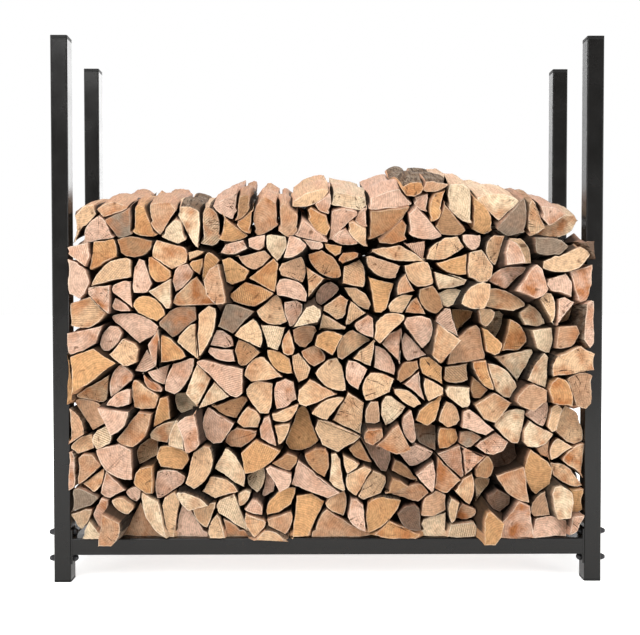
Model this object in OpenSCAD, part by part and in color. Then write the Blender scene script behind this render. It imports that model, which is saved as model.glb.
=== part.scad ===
// Log store: a free-standing square-tube steel rack on four posts, filled with split logs.
// Millimetres, +Z up. The origin is on the ground at the middle of the rack.
// X runs from the left posts to the right posts, and the front of the rack faces -Y.

/* [Rack frame] */
// Width over the outside of the posts
rack_w = 1240; // [900:10:1600]
// Height from the ground to the top of the post caps
rack_h = 1230; // [1100:10:1500]
// Depth over the outside of the posts
rack_d = 302; // [260:2:380]
// Side of the square steel tube
tube_w = 38; // [32:1:44]
// Wall of the square steel tube
tube_wall = 1.2; // [1:0.1:2.5]
// Outside corner radius of the tube
tube_corner = 3; // [2.6:0.1:6]
// Height of the underside of the rails above the ground
rail_clear = 61; // [50:1:120]

/* [End caps] */
// Height of the lip of a cap on top of a post
cap_lip = 8; // [4:0.5:14]
// Height of the lip of a foot under a post
foot_lip = 5; // [3:0.5:12]
// How far the plug of a cap or foot reaches into the tube
plug_h = 18; // [12:1:24]
// Gap between a plug and the tube around it
plug_gap = 0.2; // [0.1:0.05:0.4]

/* [End plates and bolts] */
// Thickness of the plate welded to each end of a rail
plate_t = 4; // [3:0.5:6]
// Distance between the upper and the lower bolt of a plate
bolt_pitch = 60; // [56:1:76]
// From a bolt to the nearest end of its plate
plate_margin = 9; // [8:0.5:14]
// Thread diameter of the bolts
bolt_d = 8; // [6:1:10]
// Extra diameter of the bolt holes
hole_gap = 0.6; // [0.4:0.1:1.5]
// Diameter of the domed bolt heads
head_d = 15; // [13:0.5:18]
// Height of the domed bolt heads
head_h = 7; // [5:0.5:9]
// Washer diameter
washer_d = 17; // [15:0.5:20]
// Washer thickness
washer_t = 1.6; // [1:0.1:2.5]
// Width across the flats of a cap nut
nut_af = 13; // [12:0.5:16]
// Overall height of a cap nut
nut_h = 14; // [12:0.5:18]

/* [Split logs] */
// Rounds of wood side by side across the bay
rounds_across = 10; // [7:1:14]
// Rounds of wood one above another in the stack
rounds_up = 7; // [5:1:9]
// Height that the middles of the highest stacked logs stay under
stack_top = 842; // [760:2:900]
// Usual area of a log's end, as a share of the area of a round
log_share = 0.335; // [0.25:0.005:0.45]
// How far the longest logs stand out past the posts, front and back
log_over = 68; // [50:1:80]
// Largest share of an edge by which a corner falls back from the next log
corner_fall = 0.21; // [0.05:0.01:0.24]
// Rise of the loose logs towards the back, as a share of their length
heap_rise = 0.26; // [0.15:0.01:0.32]
// Chooses another arrangement of the logs
arrangement = 7; // [1:1:40]

/* [Hidden] */
$fn = 48;
// Hairline left on each side where two logs meet
touch = 0.15;
post_x = rack_w/2 - tube_w/2;
post_y = rack_d/2 - tube_w/2;
rail_z = rail_clear + tube_w/2;
rail_top = rail_clear + tube_w;
bay_x = rack_w/2 - tube_w;
plate_h = bolt_pitch + 2*plate_margin;
hole_d = bolt_d + hole_gap;
head_out = plate_t + washer_t + head_h;
stack_x = bay_x - 2*touch;
stack_z = rail_top + 2*touch;
course_count = 10;

// Stacking is worked out on a flat sheet of rounds, then stretched to fill the bay
round_w = 116;
round_h = 106;
sheet = [rounds_across*round_w, rounds_up*round_h];
stretch = [2*stack_x/sheet[0], (stack_top - stack_z)/sheet[1]];
stack_outline = [[0, 0, 0], [sheet[0], 0, 0], [sheet[0], 1.15*sheet[1], 0], [0, 1.15*sheet[1], 0]];

// Loose logs lie in small heaps side by side on sloping patches of the stack's top.
// Each heap is [left end, right end, patch height, slope of the patch, heights of the left side,
// the peak and the right side, drift to the left, rise to the back]: the ends are shares of the
// sheet's width, the heights are shares of its height, and the rise is a share of the usual one.
heap_plan = [
    [0.003, 0.120, 0.905, 0.20, 0.990, 1.030, 1.015, 4, 0.85],
    [0.121, 0.252, 0.900, -0.22, 1.015, 1.025, 1.000, 4, 0.90],
    [0.253, 0.402, 0.905, 0.22, 1.000, 1.050, 1.030, 4, 0.95],
    [0.4057, 0.577, 0.900, -0.17, 1.015, 1.065, 1.035, 8, 1.00],
    [0.5807, 0.782, 0.905, 0.15, 1.035, 1.090, 1.070, 12, 1.05],
    [0.7857, 0.997, 0.915, -0.06, 1.055, 1.045, 0.970, 16, 0.95]
];
heaps = [
    for (h = heap_plan)
        [h[0]*sheet[0], h[1]*sheet[0], h[2]*sheet[1], h[3], [h[4], h[5], h[6]]*sheet[1], h[7], h[8]*heap_rise]
];
heap_front = -rack_d/2 - 0.09*log_over;
function patch_z(h, x) = h[2] + h[3]*(x - (h[0] + h[1])/2);

// The lower corners of the stack are cut clear of the bolts
corner_run = head_out + 15;
corner_rise = bolt_pitch/2 + washer_d/2 - tube_w/2 + 27;

// Vector helpers on points [x, z, mark]; the mark belongs to the edge that starts at the point
function flat(p) = [p[0], p[1]];
function unit(v) = v/norm(v);
function turned(v, angle) = [v[0]*cos(angle) - v[1]*sin(angle), v[0]*sin(angle) + v[1]*cos(angle)];
function sum(list, i = 0) = i >= len(list) ? 0 : list[i] + sum(list, i + 1);
function around(list, i) = list[(i + len(list)) % len(list)];
function cross_of(a, b) = a[0]*b[1] - a[1]*b[0];
function area(cell) =
    sum([for (i = [0:1:len(cell) - 1]) cross_of(cell[i], around(cell, i + 1))])/2;
function middle(cell) =
    let (twist = [for (i = [0:1:len(cell) - 1]) cross_of(cell[i], around(cell, i + 1))])
    let (pairs = [for (i = [0:1:len(cell) - 1]) (flat(cell[i]) + flat(around(cell, i + 1)))*twist[i]])
    [sum([for (p = pairs) p[0]]), sum([for (p = pairs) p[1]])]/(3*sum(twist));

// The part of a cell behind a line; the new edge along the line takes the given mark
function trim(cell, at, normal, mark) = [
    for (i = [0:1:len(cell) - 1])
        let (p = cell[i], q = around(cell, i + 1))
        let (from = (flat(p) - at)*normal, to = (flat(q) - at)*normal)
        let (cut = flat(p) + (flat(q) - flat(p))*from/(from == to ? 1 : from - to))
        each concat(
            from <= 0 ? [p] : [],
            from*to < 0 ? [[cut[0], cut[1], from < 0 ? mark : p[2]]] : []
        )
];

// Rounds of wood lie in staggered rows, each a little out of place
function round_id(i, j) = 97*j + i + 11;
function round_at(i, j) =
    let (luck = rands(-0.27, 0.27, 2, 1000*arrangement + round_id(i, j)))
    [(i + (j % 2 == 0 ? 0.25 : 0.75) + luck[0])*round_w, (j + 0.45 + luck[1])*round_h];

// Where two rounds meet, one of the two has the loose edge
function is_loose(a, b) =
    (rands(0, 1, 1, 100*arrangement + 613*min(a, b) + 7*max(a, b))[0] < 0.5) == (a < b);
round_steps = [for (j = [-2:2]) for (i = [-2:2]) if (i != 0 || j != 0) [i, j]];
function round_cell(i, j, cell, step = 0) =
    step == len(round_steps) || len(cell) < 3 ? cell :
    let (a = round_at(i, j))
    let (di = round_steps[step][0], dj = round_steps[step][1])
    let (b = round_at(i + di, j + dj))
    let (normal = unit(b - a))
    let (mark = is_loose(round_id(i, j), round_id(i + di, j + dj)) ? 1 : 0)
    round_cell(i, j, trim(cell, (a + b)/2 - touch*normal, normal, mark), step + 1);

// A round is split across its longest way, again and again, until the logs are small enough
least_area = 0.05*round_w*round_h;
slim_share = 0.15;
function longest(cell) =
    let (spans = [for (p = cell) for (q = cell) flat(q) - flat(p)])
    let (reach = max([for (s = spans) norm(s)]))
    [for (s = spans) if (norm(s) == reach) s][0];
function split(cell, seed) =
    let (luck = rands(0, 1, 4, seed))
    len(cell) < 3 || area(cell) < least_area ? [] :
    area(cell) < log_share*round_w*round_h*(0.62 + 0.95*luck[0]) ? [[cell, seed]] :
    let (way = longest(cell))
    let (normal = turned(unit(way), 64*(luck[1] - 0.5)))
    let (at = middle(cell) + way*0.16*(luck[2] - 0.5))
    let (mark = luck[3] < 0.5 ? 0 : 1)
    concat(
        split(trim(cell, at - touch*normal, normal, mark), 2*seed + 1),
        split(trim(cell, at + touch*normal, -normal, 1 - mark), 2*seed + 2)
    );
function logs_in(outline, seed) = [
    for (j = [-1:1:rounds_up + 2])
        for (i = [-1:1:rounds_across])
            each split(round_cell(i, j, outline), seed + round_id(i, j))
];

// Logs under a heap are cut level with its patch
function is_under(cell, h) =
    max([for (v = cell) v[0]]) > h[0] - h[5] - 4 && min([for (v = cell) v[0]]) < h[1] + 4;
function levelled(cell, i = 0) =
    i == len(heaps) || len(cell) < 3 ? cell :
    !is_under(cell, heaps[i]) ? levelled(cell, i + 1) :
    levelled(trim(cell, [0, patch_z(heaps[i], 0)], unit([-heaps[i][3], 1]), 0), i + 1);

// From the sheet to the rack
function placed(cell) = [for (p = cell) [p[0]*stretch[0] - stack_x, p[1]*stretch[1] + stack_z, p[2]]];
function clear_of_bolts(cell) =
    let (right = trim(cell, [stack_x - corner_run, stack_z], unit([corner_rise, -corner_run]), 1))
    trim(right, [corner_run - stack_x, stack_z], unit([-corner_rise, -corner_run]), 1);

// Each stacked log is [outline, seed, course, outline on the sheet]
course_top = 0.9*sheet[1];
stack_logs = [
    for (c = logs_in(stack_outline, 50*arrangement))
        let (cell = levelled(c[0]))
        if (len(cell) > 2 && area(cell) > 0.8*least_area)
            [clear_of_bolts(placed(cell)), c[1], ceil(course_count*middle(cell)[1]/course_top), cell]
];

// A log's bark lies on its longest loose edge, on about two logs in three
function edge(cell, i) = flat(around(cell, i + 1)) - flat(around(cell, i));
function bark_edge(cell, seed) =
    let (loose = [for (i = [0:1:len(cell) - 1]) if (cell[i][2] == 1) norm(edge(cell, i))])
    len(loose) == 0 || max(loose) < 24 || rands(0, 1, 1, seed + 5)[0] > 0.68 ? -1 :
    [for (i = [0:1:len(cell) - 1]) if (cell[i][2] == 1 && norm(edge(cell, i)) == max(loose)) i][0];
function is_bent(cell, i, bark) =
    let (n = (i + len(cell)) % len(cell))
    n != bark && cell[n][2] == 1;

// Corners fall back from loose edges, whose middles still touch the next log.
// Those that stand on the rails stay put.
function fallen(cell, i, bark, luck) =
    let (back = edge(cell, i - 1), on = edge(cell, i))
    cell[i][1] < stack_z + touch ? flat(cell[i]) :
    flat(cell[i])
        - (is_bent(cell, i, bark) ? corner_fall*luck[2*i]*back : [0, 0])
        + (is_bent(cell, i - 1, bark) ? corner_fall*luck[2*i + 1]*on : [0, 0]);
function log_points(cell, bark, seed) =
    let (n = len(cell))
    let (luck = rands(0.25, 1, 3*n, seed + 11))
    let (points = [for (i = [0:1:n - 1]) fallen(cell, i, bark, luck)])
    [for (i = [0:1:n - 1])
        let (p = points[i])
        let (out = i == bark ? unit(p - around(points, i - 1)) :
            i == (bark + 1) % n && bark >= 0 ? unit(p - around(points, i + 1)) : [0, 0])
        each concat(
            [p + 3*out],
            is_bent(cell, i, bark) ? [flat(cell[i]) + edge(cell, i)*(0.3 + 0.4*luck[2*n + i])] : []
        )
    ];

// The circle of the bark touches its edge and passes outside the far corners
function bark_circle(cell, bark, seed) =
    let (luck = rands(0, 1, 2, seed + 23))
    let (way = edge(cell, bark), out = unit([way[1], -way[0]]))
    let (at = flat(cell[bark]) + way*(0.38 + 0.24*luck[0]))
    let (depths = [for (p = cell) (at - flat(p))*out])
    let (far = [for (i = [0:1:len(cell) - 1]) if (depths[i] > 0.45*max(depths))
        pow(norm(flat(cell[i]) - at), 2)/(2*depths[i])])
    let (r = max(concat(far, [norm(way)*(0.56 + 0.5*luck[1])]))*1.02)
    [at[0] - r*out[0], at[1] - r*out[1], r];

// How far an end of a log stands out past the posts; a few stand far out or lie far in
function overhang(seed) =
    let (luck = rands(0, 1, 3, seed))
    luck[0] < 0.84 ? log_over*(0.5*luck[1] - 0.18) :
    luck[0] < 0.92 ? -log_over*(0.4 + 0.6*luck[2]) :
    log_over*min(1, 0.44 + 0.8*luck[2]);

// Front ends reach under the heaps and over the rail, and stand out further beside the right posts
function front_overhang(c) =
    let (at = middle(c[3]), out = overhang(c[1] + 31))
    let (is_outer = at[0] > 0.88*sheet[0] && at[1] > 0.4*sheet[1])
    let (least = at[1] > 0.75*sheet[1] ? 0.12 : at[1] < 0.15*sheet[1] ? -0.1 : -1)
    max(least*log_over, is_outer ? min(log_over, out + 0.65*log_over) : out);
function back_overhang(c) =
    max(middle(c[3])[1] < 0.15*sheet[1] ? -0.1*log_over : -log_over, overhang(c[1] + 37));

module log_prism(cell, seed, front, back)
{
    bark = bark_edge(cell, seed);
    points = log_points(cell, bark, seed);
    translate([0, back, 0])
        rotate([90, 0, 0])
            linear_extrude(height = back - front)
                if (bark < 0) {
                    polygon(points);
                } else {
                    round_bark = bark_circle(cell, bark, seed);
                    intersection() {
                        polygon(points);
                        translate([round_bark[0], round_bark[1]])
                            circle(r = round_bark[2]);
                    }
                }
}

// Logs whose middles are in one level band of the stack
module log_course(number)
{
    color([0.82, 0.66, 0.48])
        for (c = stack_logs)
            if (max(1, min(course_count, c[2])) == number)
                log_prism(c[0], c[1], -rack_d/2 - front_overhang(c), rack_d/2 + back_overhang(c));
}

// A heap's logs are split from one outline and lean back on a short log laid across under them.
// The heap at the left posts stands flat, and the others have loose edges underneath.
module heap(h, seed, under_mark)
{
    drift = -h[5]*stretch[0]/(rack_d + log_over);
    rise = h[6];
    outline = [
        [h[0], patch_z(h, h[0]) + 2*touch, under_mark],
        [h[1], patch_z(h, h[1]) + 2*touch, 0],
        [h[1], h[4][2], 1],
        [0.55*h[0] + 0.45*h[1], h[4][1], 1],
        [h[0], h[4][0], 0]
    ];
    beam_y = 0.2*rack_d;
    run = beam_y - heap_front;
    beam_h = (rise - h[3]*stretch[1]/stretch[0]*drift)*run - 2*touch;
    beam_ends = [for (x = [h[0] + touch, h[1] - touch])
        [x, patch_z(h, x + drift*run/stretch[0]) + 2*touch]];
    beam_line = placed(beam_ends);
    color([0.84, 0.64, 0.5]) {
        multmatrix([
            [1, drift, 0, -drift*heap_front],
            [0, 1, 0, 0],
            [0, rise, 1, -rise*heap_front],
            [0, 0, 0, 1]
        ])
            for (c = split(outline, seed))
                if (area(c[0]) > slim_share*pow(norm(longest(c[0])), 2))
                    log_prism(
                        placed(c[0]), c[1],
                        heap_front + log_over*rands(0, 0.4, 1, c[1])[0],
                        heap_front + rack_d + log_over*rands(-0.15, 0.75, 1, c[1] + 3)[0]
                    );
        translate([drift*run, beam_y + 0.85*beam_h, 0])
            rotate([90, 0, 0])
                linear_extrude(height = 0.85*beam_h)
                    polygon([
                        flat(beam_line[0]),
                        flat(beam_line[1]),
                        flat(beam_line[1]) + [0, beam_h],
                        flat(beam_line[0]) + [0, beam_h]
                    ]);
    }
}

module heap_row(first, last)
{
    for (n = [first:1:last])
        heap(heaps[n], 79*arrangement + 1000*n, n == 0 ? 0 : 1);
}

// Square tube with rounded corners, standing on its end
module rounded_square(w, r)
{
    square([w - 2*r, w], center = true);
    square([w, w - 2*r], center = true);
    for (x = [-1, 1])
        for (y = [-1, 1])
            translate([x*(w/2 - r), y*(w/2 - r)])
                circle(r = r);
}

module tube(length)
{
    linear_extrude(height = length)
        difference() {
            rounded_square(tube_w, tube_corner);
            rounded_square(tube_w - 2*tube_wall, tube_corner - tube_wall);
        }
}

// Puts a piece of the right-hand back corner into any corner of the rack
module at_corner(side, row)
{
    mirror([side < 0 ? 1 : 0, 0, 0])
        mirror([0, row < 0 ? 1 : 0, 0])
            translate([post_x, post_y, 0])
                children();
}

// Puts a piece made along +Z on both bolt lines, pointing outward through the post
module on_bolt_lines()
{
    for (up = [-1, 1])
        translate([0, 0, rail_z + up*bolt_pitch/2])
            rotate([0, 90, 0])
                children();
}

module post(side, row)
{
    color([0.14, 0.14, 0.15])
        at_corner(side, row)
            difference() {
                translate([0, 0, foot_lip])
                    tube(rack_h - cap_lip - foot_lip);
                on_bolt_lines()
                    cylinder(d = hole_d, h = 2*tube_w, center = true);
            }
}

module plug()
{
    linear_extrude(height = plug_h)
        rounded_square(tube_w - 2*tube_wall - 2*plug_gap, tube_corner - tube_wall);
}

module top_cap(side, row)
{
    color([0.09, 0.09, 0.1])
        at_corner(side, row)
            translate([0, 0, rack_h]) {
                translate([0, 0, -cap_lip])
                    linear_extrude(height = cap_lip)
                        rounded_square(tube_w, tube_corner);
                translate([0, 0, -cap_lip - plug_h])
                    plug();
            }
}

module foot(side, row)
{
    color([0.09, 0.09, 0.1])
        at_corner(side, row) {
            linear_extrude(height = foot_lip)
                rounded_square(tube_w, tube_corner);
            translate([0, 0, foot_lip])
                plug();
        }
}

// The long rails lie between the end plates, level with the posts' faces
module rail(row)
{
    color([0.14, 0.14, 0.15])
        translate([-bay_x + plate_t, row*post_y, rail_z])
            rotate([0, 90, 0])
                tube(2*bay_x - 2*plate_t);
}

module end_plate(side, row)
{
    color([0.16, 0.16, 0.17])
        at_corner(side, row)
            difference() {
                translate([-tube_w/2 - plate_t, -tube_w/2, rail_z - plate_h/2])
                    cube([plate_t, tube_w, plate_h]);
                on_bolt_lines()
                    cylinder(d = hole_d, h = 2*tube_w, center = true);
            }
}

module cross_bar(side)
{
    color([0.14, 0.14, 0.15])
        translate([side*post_x, post_y - tube_w/2, rail_z])
            rotate([90, 0, 0])
                tube(rack_d - 2*tube_w);
}

// Each bolt's domed head is inside the rack and its cap nut is outside
module bolts(side, row)
{
    head_r = (head_d*head_d/4 + head_h*head_h)/(2*head_h);
    color([0.12, 0.12, 0.13])
        at_corner(side, row)
            on_bolt_lines()
                translate([0, 0, -tube_w/2 - plate_t - washer_t]) {
                    cylinder(d = bolt_d, h = tube_w + plate_t + 2*washer_t + 0.5*nut_h);
                    intersection() {
                        translate([0, 0, head_r - head_h])
                            sphere(r = head_r);
                        translate([0, 0, -2*head_h])
                            cylinder(d = 2*head_d, h = 2*head_h);
                    }
                }
}

module washers(side, row)
{
    color([0.2, 0.2, 0.21])
        at_corner(side, row)
            on_bolt_lines()
                for (z = [-tube_w/2 - plate_t - washer_t, tube_w/2])
                    translate([0, 0, z])
                        difference() {
                            cylinder(d = washer_d, h = washer_t);
                            translate([0, 0, -1])
                                cylinder(d = hole_d, h = washer_t + 2);
                        }
}

module cap_nuts(side, row)
{
    dome_r = 0.46*nut_af;
    color([0.12, 0.12, 0.13])
        at_corner(side, row)
            on_bolt_lines()
                translate([0, 0, tube_w/2 + washer_t])
                    difference() {
                        union() {
                            cylinder(d = nut_af/cos(30), h = 0.5*nut_h, $fn = 6);
                            cylinder(r = dome_r, h = nut_h - dome_r);
                            translate([0, 0, nut_h - dome_r])
                                sphere(r = dome_r);
                        }
                        translate([0, 0, -1])
                            cylinder(d = bolt_d + 0.3, h = 0.5*nut_h + 1.6);
                    }
}

post(-1, -1);  // front_left_post
post(1, -1);  // front_right_post
post(-1, 1);  // back_left_post
post(1, 1);  // back_right_post
top_cap(-1, -1);  // front_left_cap
top_cap(1, -1);  // front_right_cap
top_cap(-1, 1);  // back_left_cap
top_cap(1, 1);  // back_right_cap
foot(-1, -1);  // front_left_foot
foot(1, -1);  // front_right_foot
foot(-1, 1);  // back_left_foot
foot(1, 1);  // back_right_foot
rail(-1);  // front_rail
rail(1);  // back_rail
cross_bar(-1);  // left_cross_bar
cross_bar(1);  // right_cross_bar
end_plate(-1, -1);  // front_left_plate
end_plate(1, -1);  // front_right_plate
end_plate(-1, 1);  // back_left_plate
end_plate(1, 1);  // back_right_plate
bolts(-1, -1);  // front_left_bolts
bolts(1, -1);  // front_right_bolts
bolts(-1, 1);  // back_left_bolts
bolts(1, 1);  // back_right_bolts
washers(-1, -1);  // front_left_washers
washers(1, -1);  // front_right_washers
washers(-1, 1);  // back_left_washers
washers(1, 1);  // back_right_washers
cap_nuts(-1, -1);  // front_left_nuts
cap_nuts(1, -1);  // front_right_nuts
cap_nuts(-1, 1);  // back_left_nuts
cap_nuts(1, 1);  // back_right_nuts
log_course(1);  // log_course_01
log_course(2);  // log_course_02
log_course(3);  // log_course_03
log_course(4);  // log_course_04
log_course(5);  // log_course_05
log_course(6);  // log_course_06
log_course(7);  // log_course_07
log_course(8);  // log_course_08
log_course(9);  // log_course_09
log_course(10);  // log_course_10
heap_row(0, 2);  // left_heap
heap_row(3, 5);  // right_heap
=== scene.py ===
# %% [markdown]
# A steel rack full of split logs
#
# The object is a log store: four square-tube posts, two long rails and two cross bars in black powder
# coat, bolted together and filled with some three hundred split logs that lie end on to the front.
# The imported solids are loaded first and stay the frame for everything here.

# %% Load the frame
import math
import random

import bmesh
import bpy
from mathutils import Matrix, Vector, noise
from mathutils.bvhtree import BVHTree


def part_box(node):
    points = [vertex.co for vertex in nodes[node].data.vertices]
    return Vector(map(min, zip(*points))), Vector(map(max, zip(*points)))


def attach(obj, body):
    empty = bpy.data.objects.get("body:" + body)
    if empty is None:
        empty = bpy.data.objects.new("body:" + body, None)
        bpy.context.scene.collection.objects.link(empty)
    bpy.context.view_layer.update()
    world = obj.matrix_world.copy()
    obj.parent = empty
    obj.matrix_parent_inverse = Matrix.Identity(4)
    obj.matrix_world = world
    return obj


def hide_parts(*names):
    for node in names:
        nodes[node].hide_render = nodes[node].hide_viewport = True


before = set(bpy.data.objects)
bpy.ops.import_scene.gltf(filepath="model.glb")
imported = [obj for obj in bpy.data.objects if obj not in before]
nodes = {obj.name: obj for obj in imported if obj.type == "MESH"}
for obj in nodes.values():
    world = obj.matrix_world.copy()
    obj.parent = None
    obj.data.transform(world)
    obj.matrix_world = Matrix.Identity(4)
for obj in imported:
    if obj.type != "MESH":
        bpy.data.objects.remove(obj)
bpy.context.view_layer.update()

MM = 0.001

# %% [markdown]
# The camera
#
# The rack is seen square on, from two metres away and a little above half its height. The lens and the
# place follow from where the corners of the four posts lie in the picture, so nothing is shifted and
# the back posts stand the right amount inside the front ones. A Standard view transform keeps colours
# as they are written.

# %% Camera
SENSOR_WIDTH, FOCAL_LENGTH = 36.0, 45.46
CAMERA_AT = (-0.0294, -1.9701, 0.6399)
CAMERA_TURN = (88.715, 0.033, -0.364)

lens = bpy.data.cameras.new("lens")
lens.sensor_fit = "HORIZONTAL"
lens.sensor_width = SENSOR_WIDTH
lens.lens = FOCAL_LENGTH
camera = bpy.data.objects.new("camera", lens)
camera.location = CAMERA_AT
camera.rotation_euler = [math.radians(angle) for angle in CAMERA_TURN]
bpy.context.scene.collection.objects.link(camera)
bpy.context.scene.camera = camera
bpy.context.scene.view_settings.view_transform = "Standard"
print("camera at", list(camera.location))

# %% [markdown]
# Helpers for every finish
#
# A colour picker shows sRGB values, but shaders work in linear light, so one function turns the hex
# codes round. A second one adds a node: settings are named, and each socket gets either a value or
# another node's output. Some nodes have several sockets of one name, and those are reached by number.
# A Mix node of colours has its share at 0, the two colours at 6 and 7, and the result at 2. A Map Range
# reads from 1 to 2 and gives 3 to 4.

# %% Colour and node helpers
def linear(hex_code):
    """The linear colour of an sRGB hex code."""
    parts = [int(hex_code[i:i + 2], 16) / 255 for i in (0, 2, 4)]
    return [p / 12.92 if p <= 0.04045 else ((p + 0.055) / 1.055) ** 2.4 for p in parts] + [1.0]


def add(tree, kind, sockets=None, **settings):
    """A new node with its settings, its socket values and its links."""
    node = tree.nodes.new(kind)
    for name, value in settings.items():
        setattr(node, name, value)
    for name, value in (sockets or {}).items():
        if isinstance(value, bpy.types.NodeSocket):
            tree.links.new(value, node.inputs[name])
        else:
            node.inputs[name].default_value = value
    return node


def new_finish(name):
    """An empty material and its node tree."""
    finish = bpy.data.materials.new(name)
    finish.use_nodes = True
    finish.node_tree.nodes.clear()
    return finish, finish.node_tree


print("middle grey in linear light:", linear("808080"))

# %% [markdown]
# Powder coat on the tubes
#
# Polyester powder is sprayed on dry and melted in an oven. It flows out to a satin film with a faint
# orange peel, about two millimetres from hump to hump, which softens every reflection. The film is
# nearly black, and handling leaves slightly duller clouds on it. The solids already have the tubes'
# rounded corners, so the nodes stay and only get this finish.

# %% Powder coat
PEEL = 2.4 * MM
CLOUD = 70 * MM
CORNERS = ["front_left", "front_right", "back_left", "back_right"]
BARS = ["front_rail", "back_rail", "left_cross_bar", "right_cross_bar"]

powder_coat, tree = new_finish("satin_black_powder_coat_on_steel")
where = add(tree, "ShaderNodeTexCoord").outputs["Object"]
peel = add(tree, "ShaderNodeTexNoise", {"Vector": where, "Scale": 1 / PEEL, "Detail": 1.0})
cloud = add(tree, "ShaderNodeTexNoise", {"Vector": where, "Scale": 1 / CLOUD, "Detail": 4.0})
film = add(tree, "ShaderNodeMix", {0: cloud.outputs["Fac"], 6: linear("121110"), 7: linear("191817")},
           data_type="RGBA")
dull = add(tree, "ShaderNodeMapRange", {"Value": cloud.outputs["Fac"], 1: 0.3, 2: 0.7, 3: 0.2, 4: 0.3})
humps = add(tree, "ShaderNodeBump", {
    "Height": peel.outputs["Fac"], "Strength": 0.3, "Distance": 0.12 * MM})
coat = add(tree, "ShaderNodeBsdfPrincipled", {
    "Base Color": film.outputs[2], "Roughness": dull.outputs[0], "Normal": humps.outputs[0],
    "IOR": 1.5, "Specular IOR Level": 0.3})
add(tree, "ShaderNodeOutputMaterial", {"Surface": coat.outputs[0]})

tubes = [corner + "_post" for corner in CORNERS] + BARS
for name in tubes:
    nodes[name].material_slots[0].material = powder_coat
print("powder coat on", len(tubes), "tubes")

# %% [markdown]
# Bolts, washers and cap nuts
#
# The fasteners are steel with a black oxide skin. It is thin, so the metal's own gleam shows through
# it, dark and a little uneven. The domes and hexagons are in the solids.

# %% Black oxide
BLOTCH = 5 * MM

black_oxide, tree = new_finish("black_oxide_on_steel_fasteners")
where = add(tree, "ShaderNodeTexCoord").outputs["Object"]
blotch = add(tree, "ShaderNodeTexNoise", {"Vector": where, "Scale": 1 / BLOTCH, "Detail": 3.0})
skin = add(tree, "ShaderNodeMix", {0: blotch.outputs["Fac"], 6: linear("2B2B2D"), 7: linear("454547")},
           data_type="RGBA")
gleam = add(tree, "ShaderNodeMapRange", {"Value": blotch.outputs["Fac"], 1: 0.3, 2: 0.7, 3: 0.34, 4: 0.5})
oxide = add(tree, "ShaderNodeBsdfPrincipled", {
    "Base Color": skin.outputs[2], "Roughness": gleam.outputs[0], "Metallic": 0.8})
add(tree, "ShaderNodeOutputMaterial", {"Surface": oxide.outputs[0]})

fasteners = [corner + kind for corner in CORNERS for kind in ("_bolts", "_washers", "_nuts")]
for name in fasteners:
    nodes[name].material_slots[0].material = black_oxide
print("black oxide on", len(fasteners), "sets of fasteners")

# %% [markdown]
# Plastic of the caps and feet
#
# The plugs in the tube ends are moulded polyethylene: blacker than the coat, and dull from the fine
# sparked texture of the mould, about a millimetre from pit to pit.

# %% Moulded plastic
SPARK = 0.9 * MM

moulded, tree = new_finish("moulded_black_polyethylene")
where = add(tree, "ShaderNodeTexCoord").outputs["Object"]
spark = add(tree, "ShaderNodeTexNoise", {"Vector": where, "Scale": 1 / SPARK, "Detail": 2.0})
shade = add(tree, "ShaderNodeMix", {0: spark.outputs["Fac"], 6: linear("0E0E0E"), 7: linear("161616")},
            data_type="RGBA")
pits = add(tree, "ShaderNodeBump", {
    "Height": spark.outputs["Fac"], "Strength": 0.35, "Distance": 0.1 * MM})
plastic = add(tree, "ShaderNodeBsdfPrincipled", {
    "Base Color": shade.outputs[2], "Roughness": 0.55, "Normal": pits.outputs[0],
    "IOR": 1.51, "Specular IOR Level": 0.2})
add(tree, "ShaderNodeOutputMaterial", {"Surface": plastic.outputs[0]})
print("moulded plastic uses", len(tree.nodes), "nodes")

# %% [markdown]
# Caps, feet and end plates
#
# A moulded edge and a sheared plate edge are never knife sharp, so these pieces are copies of the
# solids with their sharp edges bevelled. A copy is merged first, because a imported mesh is loose
# triangles, and its flat areas are dissolved so that the bevel meets whole faces. Each new piece rides
# on the rack, takes a material slot and hides the node it stands in for.

# %% Copies and pieces
MERGE = 0.002 * MM
FLAT = math.radians(0.4)
SMOOTH = math.radians(34)


def whole_copy(node):
    """A merged copy of a node's mesh with whole flat faces."""
    mesh = bmesh.new()
    mesh.from_mesh(nodes[node].data)
    bmesh.ops.remove_doubles(mesh, verts=mesh.verts, dist=MERGE)
    bmesh.ops.dissolve_limit(mesh, angle_limit=FLAT, use_dissolve_boundaries=False,
                             verts=mesh.verts, edges=mesh.edges, delimit=set())
    return mesh


def new_piece(name, mesh, finishes, replaced):
    """Adds a finished piece to the rack from a bmesh."""
    data = bpy.data.meshes.new(name)
    mesh.to_mesh(data)
    mesh.free()
    for finish in finishes:
        data.materials.append(finish)
    data.shade_smooth()
    data.set_sharp_from_angle(angle=SMOOTH)
    piece = bpy.data.objects.new(name, data)
    bpy.context.scene.collection.objects.link(piece)
    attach(piece, "root")
    if replaced:
        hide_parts(*replaced)


print("edges under", round(math.degrees(SMOOTH)), "degrees are shaded smooth")

# %% Rounded caps, feet and plates
SQUARE = math.radians(50)
LONG_EDGE = 20 * MM
ROUNDED = [("cap", "black_plastic", moulded, 1.4 * MM), ("foot", "black_plastic", moulded, 0.9 * MM),
           ("plate", "black_steel", powder_coat, 0.7 * MM)]


def is_outer_edge(edge, is_plate):
    """True where two whole faces meet squarely, and not at the bolt holes of a plate."""
    if len(edge.link_faces) != 2 or edge.calc_face_angle() <= SQUARE:
        return False
    return edge.calc_length() > LONG_EDGE or (not is_plate and len(edge.verts[0].link_edges) == 3)


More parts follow.
